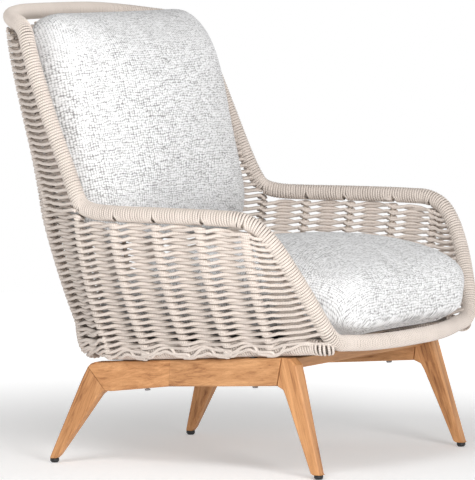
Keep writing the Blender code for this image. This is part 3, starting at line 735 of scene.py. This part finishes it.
def half_row(w, h):
    """Points on the right half of a row.

    w is 0 in the middle of the back, 1 to 4 at the back's ribs and edge, 4 to 8 at the side's ribs and 9 at the
    front post.
    """
    back = back_surface(q_of(w), np.full_like(w, h))
    ys = np.interp(w, [4, 5, 6, 7, 8], RIB_Y)
    below_top = (ROW_TOP - h) / COURSE
    droop = np.interp(w, [6.7, 7.4, 8], [0, 0.0030, 0.0100]) * math.exp(-below_top / 2.5)
    z = np.minimum(h, ROW_TOP + 0.0090) - droop
    # The front end of a row above the top one is tucked up behind the arm
    tuck = 0.010 * np.clip((w - 6.4) / 0.5, 0, 1) if h > ROW_TOP else 0.0
    z = z + tuck
    # The lowest rows bend to follow the rising ring
    low_z = ring_z(ys) - RING_LOW
    room = z - low_z
    bend = 0.012
    z = np.where(room < bend, low_z + bend * np.exp((np.minimum(room, bend) - bend) / bend), z)
    side = np.stack([side_x(ys, z) - tuck, ys, z], -1)
    post_z = 0.268 + 0.845 * (h - 0.2443)
    post = np.array([post_x(post_z), post_y(post_z), post_z])
    t = np.clip(w - 8, 0, 1)[:, None]
    tail = side + (post - side) * t
    return np.where((w > 8)[:, None], tail, np.where((w > 4)[:, None], side, back))


def full_row(w, make):
    """Points for w from -9 to 9, with the left half the mirror image of the right."""
    points = make(np.abs(w))
    points[:, 0] *= np.where(w < 0, -1.0, 1.0)
    return points


def course_paths(reach, make, above, arch, at_posts):
    """The two ropes of one course as (path, normal, place along the row) for each.

    One rope winds once round each even rib and passes inside the odd ones, and the other does the reverse. Near a
    rib one rope hides the other, and they change places half way between the ribs.
    The course runs from -reach to reach, and at_posts says whether its ends run past an edge tube.
    """
    w = np.linspace(-reach, reach, 2 * reach * STEPS_PER_BAY + 1)
    base = full_row(w, make)
    along = lengths_of(base)
    t = tangents_of(base)
    up = full_row(w, above) - base
    up = unit(up - t * np.sum(up * t, -1, keepdims=True))
    out = np.cross(up, t)
    level = unit(out * np.array([1.0, 1.0, 0.0]))
    upright = np.clip((up[:, 2:] - 0.5) / 0.2, 0, 1)
    out = unit(out + (level - out) * upright) / np.maximum(up[:, 2:], 0.75)
    ribs = range(-reach, reach + 1)
    at = {i: float(np.interp(i, w, along)) for i in ribs}
    side_room = base[:, 2] - ring_z(base[:, 1]) + RING_LOW
    side_arch = 0.0003 + 0.0150 * np.exp(-side_room / 0.020)
    arch_along = np.where(np.abs(w) > 4, side_arch, arch)
    result = []
    for rope in (0, 1):
        s_list, d_list, h_list = [], [], []
        for i in ribs:
            rise = -RISE_H if i <= 0 else RISE_H
            if at_posts and abs(i) == reach:
                spots = [(0.0, POST_D if (reach - 1) % 2 == rope else -POST_D, 0.0)]
            elif i % 2 == rope:
                spots = []
                for k in range(LOOP_STEPS + 1):
                    f = k / LOOP_STEPS
                    a = math.radians(LOOP_FROM + (LOOP_TO - LOOP_FROM) * f)
                    spots.append((OUT_D * math.sin(a), OUT_D * math.cos(a), rise * (1 - 2 * f)))
            else:
                spots = [
                    (-0.0050, -IN_D + 0.0008, rise),
                    (0.0, -IN_D, 0.0),
                    (0.0050, -IN_D + 0.0008, -rise),
                ]
            if s_list:
                s0, d0, h0 = s_list[-1], d_list[-1], h_list[-1]
                s1, d1, h1 = at[i] + spots[0][0], spots[0][1], spots[0][2]
                f = np.linspace(0, 1, BAY_STEPS)[1:-1]
                forward = f if i > 0 else 1 - f
                body = np.interp(forward, BAY_F, BAY_H)
                fade_in = ease(1 - f / 0.1) * (h0 - body[0]) + ease(1 - (1 - f) / 0.1) * (h1 - body[-1])
                split = ease((f - 0.20) / 0.18) * ease((0.80 - f) / 0.18)
                s_list += list(s0 + (s1 - s0) * f)
                d_list += list(d0 + (d1 - d0) * f)
                h_list += list(body + fade_in + (-CROSS_H if d0 > d1 else CROSS_H) * split)
            for ds, d, h in spots:
                s_list.append(at[i] + ds)
                d_list.append(d)
                h_list.append(h)
        s, d, h = (np.array(v) for v in (s_list, d_list, h_list))
        w_here = np.interp(s, along, w)
        frac = w_here - np.floor(w_here)
        h = h + np.interp(s, along, arch_along) * np.sin(math.pi * frac) ** 2
        up_here = unit(read_points(s, along, up))
        path = read_points(s, along, base) + read_points(s, along, out) * d[:, None] + up_here * h[:, None]
        result.append((path, up_here, w_here))
    return result


def clear_of_ring(path):
    """Keeps the lowest ropes outside the wrapped seat ring."""
    sx = np.where(path[:, 0] > 0, 1.0, -1.0)
    cz = ring_z(path[:, 1])
    dx = sx * path[:, 0] - ring_x(path[:, 1])
    dz = path[:, 2] - cz
    away = np.hypot(dx, dz)
    short = (away < RING_CLEAR) & (path[:, 1] < 0.17) & (path[:, 1] > -0.29)
    side = np.maximum(dx, 0.55 * np.abs(dz) + 0.004)
    size = np.hypot(side, dz)
    new = path.copy()
    new[:, 0] = np.where(short, sx * (ring_x(path[:, 1]) + side / size * RING_CLEAR), path[:, 0])
    new[:, 2] = np.where(short, cz + dz / size * RING_CLEAR, path[:, 2])
    return new


def cut_and_add(path, up, w_here):
    """Shares a rope between the three woven pieces, cut where the panels meet."""
    for strands, low, high in ((left_set, -9.5, -4.0), (back_set, -4.0, 4.0), (right_set, 4.0, 9.5)):
        inside = np.where((w_here >= low - 1e-9) & (w_here <= high + 1e-9))[0]
        if len(inside) < 3:
            continue
        first, last = inside[0], inside[-1]
        strands.add(path[first : last + 1], up[first : last + 1], ROPE_R, ROPE_SIDES, start=first * 0.01)


left_set, right_set, back_set = Strands(), Strands(), Strands()
CURL_DROP = CURL_H - LOW_H - 0.003
curl_t = np.linspace(0, 1, 200)
curl_len = lengths_of(back_surface(np.full(200, 0.3), CURL_H - curl_t * CURL_DROP))
JOINED_LOW = int(math.ceil((CURL_H - ROW_LOWEST) / COURSE))  # courses below the curl that reach the sides
LOW_COURSES = JOINED_LOW + 3  # courses that the curl's length holds
PART_STEP = 0.06


def curled(w, part, side_h):
    """Points of a course below the curl. part is its share of the curl's length across the back."""
    side_part = (CURL_H - side_h) / (CURL_H - ROW_LOWEST)
    blend = ease(w - 3.0)
    f = part + (side_part - part) * blend
    t = np.interp(np.clip(f, 0, 1) * curl_len[-1], curl_len, curl_t)
    back = back_surface(q_of(w), CURL_H - t * CURL_DROP)
    corner = np.array([float(side_x(RIB_Y[0], side_h)), RIB_Y[0], side_h])
    near = ease((w - 3.3) / 0.7)[:, None]
    return back + (corner - back) * near * near


def low_row(w, part, side_h):
    return np.where((w > 4)[:, None], half_row(w, side_h), curled(w, part, side_h))


def part_of(low_j):
    """Share of the curl's length at which this course below the curl lies across the back."""
    return (low_j / (JOINED_LOW - 1) * (LOW_COURSES - 1) + 0.5) / LOW_COURSES


ARCH = 0.0006  # how far a course rises between the ribs
for j in range(-1, SIDE_COURSES):
    h = ROW_TOP - j * COURSE
    arch = ARCH
    if h >= CURL_H:
        make = lambda w, h=h: half_row(w, h)
        above = lambda w, h=h: half_row(w, h + ABOVE)
    else:
        part = part_of(j - (SIDE_COURSES - JOINED_LOW))
        arch = ARCH + 0.0100 * part**3
        make = lambda w, h=h, part=part: low_row(w, part, h)
        above = lambda w, h=h, part=part: low_row(w, part - PART_STEP, h + ABOVE)
    # The top course stops at the last rib, and the lowest stop at the rib where the rising ring meets them
    ring_ends = [i for i, y in enumerate(RIB_Y) if ring_z(y) > h + 0.020]
    last = 7 if j < 0 else (3 + ring_ends[0] if ring_ends else 9)
    for path, up, w_here in course_paths(last, make, above, arch, last == 9):
        if h < CURL_H:
            path = clear_of_ring(clear_of_ring(path))
        cut_and_add(path, up, w_here)

# Short courses between them across the back, where the curl is longer than the side is high
for j in range(JOINED_LOW - 1):
    part = part_of(j + 0.5)
    side_h = CURL_H - (j + 0.9) / JOINED_LOW * (CURL_H - ROW_LOWEST)
    make = lambda w, part=part, side_h=side_h: curled(w, part, side_h)
    above = lambda w, part=part, side_h=side_h: curled(w, part - PART_STEP, side_h + ABOVE)
    for path, up, w_here in course_paths(4, make, above, 0.0030, False):
        keep = np.abs(w_here) < 3.75
        cut_and_add(path[keep], up[keep], w_here[keep])

# Upper courses of the back, between the back posts
BACK_ROWS_END = 0.893
h = ROW_TOP + 2 * COURSE
while h < BACK_ROWS_END:
    make = lambda w, h=h: back_surface(q_of(w), np.full_like(w, h))
    above = lambda w, h=h: back_surface(q_of(w), np.full_like(w, h + ABOVE))
    for path, up, w_here in course_paths(4, make, above, ARCH, True):
        limit = np.interp(q_of(np.abs(w_here)), back_top_q, back_top_h) + 0.004
        keep = path[:, 2] < limit
        runs = np.split(np.arange(len(path)), np.where(np.diff(keep.astype(int)) != 0)[0] + 1)
        for run in runs:
            if len(run) > 2 and keep[run[0]]:
                back_set.add(path[run], up[run], ROPE_R, ROPE_SIDES)
    h += COURSE

for strands, node in ((left_set, "side_weave_left"), (right_set, "side_weave_right"), (back_set, "back_weave")):
    stand_in(strands.build(node + "_rope", ROPE), "chair", node)


# ---------------------------------------------------------------- CAD nodes that stay

LOOKS = (
    ("rib", PAINT),
    ("rim_tube", PAINT),
    ("seat_tube", PAINT),
    ("pad", RUBBER),
    ("glide", BLACK),
    ("bolt", STEEL),
    ("seat_deck", DECK_PAINTED_SHADE),
)


def dress(name, material):
    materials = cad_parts[name].data.materials
    materials.clear()
    materials.append(material)


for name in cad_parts:
    for word, look in LOOKS:
        if word in name:
            dress(name, look)
dress("seat_ring", PAINT)

seed = 0
for tag, side in (("left", -1), ("right", 1)):
    for part, grain, tint in (
        ("rear_leg_", (0.12 * side, 0.33, -0.93), (1.0, 0.98, 0.96)),
        ("knee_block_", (0.05 * side, 0.995, -0.08), (1.08, 1.06, 1.05)),
        ("side_rail_", (0.0, 0.997, -0.07), (1.0, 1.0, 1.0)),
        ("front_leg_", (0.05 * side, -0.27, -0.96), (1.03, 1.0, 0.96)),
    ):
        seed += 1
        dress(part + tag, teak_material("teak_" + part + tag, grain, tint, seed))
for part, tint in (("front_cross_rail", (0.95, 0.93, 0.9)), ("rear_cross_rail", (1.0, 1.0, 1.0))):
    seed += 1
    dress(part, teak_material("teak_" + part, (1, 0, 0), tint, seed))


# ---------------------------------------------------------------- cushions


def rounded_outline(half_x, y0, y1, r0, r1, count):
    """A rounded rectangle as an even loop of points, with corner radius r0 at y0 and r1 at y1."""
    pts = []
    corners = (
        (half_x - r1, y1 - r1, r1, 0.0),
        (-half_x + r1, y1 - r1, r1, 90.0),
        (-half_x + r0, y0 + r0, r0, 180.0),
        (half_x - r0, y0 + r0, r0, 270.0),
    )
    for cx, cy, r, a0 in corners:
        for k in range(13):
            a = math.radians(a0 + 90.0 * k / 12)
            pts.append((cx + r * math.cos(a), cy + r * math.sin(a)))
    pts.append(pts[0])
    pts = np.array(pts)
    along = lengths_of(pts)
    where = np.linspace(0, along[-1], count, endpoint=False)
    return np.stack([np.interp(where, along, pts[:, k]) for k in range(2)], -1)


PILLOW_RINGS = 14


def pillow(outline, thick, crown_low, crown_high, place, power, power_low):
    """Rings from the middle of the lower face over the rim to the middle of the upper face."""
    verts = []
    faces = []
    n = len(outline)
    rings = [math.sin(0.5 * math.pi * i / PILLOW_RINGS) for i in range(1, PILLOW_RINGS + 1)]
    shares = [(scale, -1) for scale in rings] + [(scale, 1) for scale in rings[-2::-1]]
    for scale, sign in shares:
        p = power if sign > 0 else power_low
        body = (1 - scale**p) ** (1 / p)
        crown = crown_high if sign > 0 else crown_low
        height = sign * (0.5 * thick * body + crown * (1 - scale**2))
        for x, y in outline:
            verts.append(place(x * scale, y * scale, height))
    for i in range(len(shares) - 1):
        for k in range(n):
            m = (k + 1) % n
            faces.append((i * n + k, i * n + m, (i + 1) * n + m, (i + 1) * n + k))
    first = len(verts)
    verts.append(place(0, 0, -0.5 * thick - crown_low))
    verts.append(place(0, 0, 0.5 * thick + crown_high))
    last = (len(shares) - 1) * n
    for k in range(n):
        m = (k + 1) % n
        faces.append((first, m, k))
        faces.append((first + 1, last + k, last + m))
    return verts, faces


VOXEL, PRESSURE, MOST_MOVE, LAST_FRAME = 0.006, 3.0, 0.006, 20


def points_of(mesh):
    co = np.zeros(len(mesh.vertices) * 3)
    mesh.vertices.foreach_get("co", co)
    return co.reshape(-1, 3)


def puff(obj):
    """Swells a cushion like stuffed cloth and keeps the result, with no point moving further than MOST_MOVE."""
    remesh = obj.modifiers.new("remesh", "REMESH")
    remesh.mode = "VOXEL"
    remesh.voxel_size = VOXEL
    bpy.context.view_layer.objects.active = obj
    bpy.ops.object.modifier_apply(modifier="remesh")
    start = points_of(obj.data)
    cloth = obj.modifiers.new("cloth", "CLOTH")
    s = cloth.settings
    s.quality = 4
    s.use_pressure = True
    s.uniform_pressure_force = PRESSURE
    s.effector_weights.gravity = 0
    s.tension_stiffness = 20
    s.compression_stiffness = 12
    s.bending_stiffness = 2.0
    cloth.point_cache.frame_start = 1
    cloth.point_cache.frame_end = LAST_FRAME
    scene = bpy.context.scene
    for f in range(1, LAST_FRAME + 1):
        scene.frame_set(f)
    now = points_of(obj.evaluated_get(bpy.context.evaluated_depsgraph_get()).data)
    obj.modifiers.remove(cloth)
    scene.frame_set(1)
    move = now - start
    size = np.linalg.norm(move, axis=1, keepdims=True)
    move *= np.minimum(1.0, MOST_MOVE / np.maximum(size, 1e-9))
    obj.data.vertices.foreach_set("co", (start + move).ravel())
    obj.data.update()


def weave_uv(obj, axes):
    """A UV map in metres that folds down over the cushion's sides, so that the yarns run straight everywhere."""
    mesh = obj.data
    co = points_of(mesh)
    a, b, c = (co @ np.array(v, float) for v in axes)
    fall = c.max() - c
    flat = []
    for along in (a, b):
        middle = 0.5 * (along.max() + along.min())
        half = 0.5 * (along.max() - along.min())
        off = along - middle
        flat.append(along + np.sign(off) * ease((np.abs(off) - half + 0.11) / 0.08) * fall)
    corners = np.zeros(len(mesh.loops), np.int32)
    mesh.loops.foreach_get("vertex_index", corners)
    layer = mesh.uv_layers.new(name="weave")
    layer.data.foreach_set("uv", np.stack(flat, -1)[corners].astype(np.float32).ravel())


SEAT_Y0, SEAT_Y1 = -0.373, 0.235
SEAT_MID = 0.5 * (SEAT_Y0 + SEAT_Y1)
SEAT_HALF_W = 0.335


def on_seat(x, y, up):
    """Lays the seat cushion on the ring, narrower to the rear and below, and clear of the side panels."""
    depth = SEAT_MID + y
    x = x * (1 - 0.12 * min(max(depth / SEAT_Y1, 0.0), 1.0))
    front = min(max((-0.20 - depth) / 0.15, 0.0), 1.0)
    height = up
    if up < 0:
        x *= 1 + 1.20 * up
        up -= 0.014 * front * front
    z = ring_z(depth) + 0.0156 + 0.070 + up
    gap = 0.0230 + 0.0450 * min(max((0.015 - height) / 0.045, 0.0), 1.0) * (1 - 0.7 * front)
    room = float(side_x(min(depth, 0.19), z)) - gap
    return (max(-room, min(room, x)), depth, z)


outline = rounded_outline(SEAT_HALF_W - 0.004, SEAT_Y0 - SEAT_MID + 0.004, SEAT_Y1 - SEAT_MID, 0.115, 0.055, 120)
verts, faces = pillow(outline, 0.136, 0.0, 0.056, on_seat, power=3.0, power_low=4.5)
seat = mesh_object("seat_cushion_cover", verts, faces, CLOTH)

BACK_TILT = math.radians(12.5)
BACK_LEN = 0.496
BACK_HALF_W = 0.331
BACK_FOOT = Vector((0, 0.2140, 0.4380))
RISE = Vector((0, math.sin(BACK_TILT), math.cos(BACK_TILT)))
OUT = Vector((0, -math.cos(BACK_TILT), math.sin(BACK_TILT)))


def on_back(x, y, forward):
    """Stands the back cushion against the panel, with its top leaning back."""
    share = (y + 0.5 * BACK_LEN) / BACK_LEN
    forward -= 0.022 * max(0.0, share / 0.4 - 1.5) ** 2
    return tuple(BACK_FOOT + Vector((x, 0, 0)) + RISE * (y + 0.5 * BACK_LEN) + OUT * forward)


outline = rounded_outline(BACK_HALF_W, -0.5 * BACK_LEN + 0.002, 0.5 * BACK_LEN - 0.002, 0.060, 0.075, 110)
verts, faces = pillow(outline, 0.142, 0.036, 0.030, on_back, power=3.2, power_low=3.2)
rest = mesh_object("back_cushion_cover", verts, faces, CLOTH)

puff(seat)
puff(rest)
for piece, node, axes in (
    (seat, "seat_cushion", ((1, 0, 0), (0, 1, 0), (0, 0, 1))),
    (rest, "back_cushion", ((1, 0, 0), tuple(RISE), tuple(OUT))),
):
    weave_uv(piece, axes)
    for poly in piece.data.polygons:
        poly.use_smooth = True
    sub = piece.modifiers.new("smooth", "SUBSURF")
    sub.levels = sub.render_levels = 1
    stand_in(piece, node, node)


# ---------------------------------------------------------------- studio



def fade_between(tree, value, start, end, low, high):
    """A smooth step from low at start to high at end."""
    made = tree.nodes.new("ShaderNodeMapRange")
    made.interpolation_type = "SMOOTHSTEP"
    tree.links.new(value, made.inputs["Value"])
    for key, number in (("From Min", start), ("From Max", end), ("To Min", low), ("To Max", high)):
        made.inputs[key].default_value = number
    return made.outputs["Result"]


floor_mat = plain_material("floor", (0.93, 0.93, 0.93), 0.9)
# The floor is lit by the lamps near the chair and glows further out, where their light gives out
glow = floor_mat.node_tree
from_chair = glow.nodes.new("ShaderNodeVectorMath")
from_chair.operation = "LENGTH"
glow.links.new(glow.nodes.new("ShaderNodeTexCoord").outputs["Object"], from_chair.inputs[0])
fade = fade_between(glow, from_chair.outputs["Value"], 0.45, 2.20, 0.25, 0.75)
glow.nodes["Principled BSDF"].inputs["Emission Color"].default_value = (1.0, 1.0, 1.0, 1.0)
glow.links.new(fade, glow.nodes["Principled BSDF"].inputs["Emission Strength"])
FLOOR_HALF, FLOOR_Z = 3.6, -0.0006
floor_corners = [(x * FLOOR_HALF, y * FLOOR_HALF, FLOOR_Z) for x, y in ((-1, -1), (1, -1), (1, 1), (-1, 1))]
floor = mesh_object("floor", floor_corners, [(0, 1, 2, 3)], floor_mat, smooth=False)

# A sky that is white round the horizon and dimmer overhead
world = bpy.data.worlds.new("studio")
bpy.context.scene.world = world
world.use_nodes = True
sky = world.node_tree
looking = sky.nodes.new("ShaderNodeTexCoord").outputs["Generated"]
parts = sky.nodes.new("ShaderNodeSeparateXYZ")
sky.links.new(looking, parts.inputs[0])
band = fade_between(sky, parts.outputs["Z"], 0.22, 0.50, 1.0, 0.20)
sky.nodes["Background"].inputs["Color"].default_value = (1.0, 1.0, 1.0, 1.0)
sky.links.new(band, sky.nodes["Background"].inputs["Strength"])


def area_light(name, place, aim, size, power):
    data = bpy.data.lights.new(name, "AREA")
    data.shape = "SQUARE"
    data.size = size
    data.energy = power
    obj = linked(name, data)
    obj.location = place
    obj.rotation_euler = (Vector(aim) - Vector(place)).to_track_quat("-Z", "Y").to_euler()


area_light("key", (-3.4, -3.8, 1.6), (0, 0, 0.45), 1.3, 142)
area_light("top", (-2.4, -0.6, 3.0), (0, 0, 0.4), 1.4, 45)

# The camera as fitted to the photograph
CAM_AZ, CAM_EL = math.radians(-63.3526), math.radians(3.7572)
CAM_DIST = 10.36117
CAM_FOCAL_PX, IMAGE_W, SENSOR = 5026.51, 475, 36.0
right_dir = Vector((math.cos(CAM_AZ), math.sin(CAM_AZ), 0))
back_dir = Vector(
    (math.sin(CAM_AZ) * math.cos(CAM_EL), -math.cos(CAM_AZ) * math.cos(CAM_EL), math.sin(CAM_EL))
)
target = Vector((0, 0, 0.445385)) + right_dir * -0.0385137
cam_data = bpy.data.cameras.new("camera")
cam_data.sensor_fit = "HORIZONTAL"
cam_data.sensor_width = SENSOR
cam_data.lens = SENSOR * CAM_FOCAL_PX / IMAGE_W
cam_data.clip_end = 100
camera = linked("camera", cam_data)
camera.location = target + back_dir * CAM_DIST - Vector((0, BOX_MIDDLE_Y, 0))
camera.rotation_mode = "QUATERNION"
camera.rotation_quaternion = (-back_dir).to_track_quat("-Z", "Y")
bpy.context.scene.camera = camera
bpy.context.scene.view_settings.view_transform = "Standard"
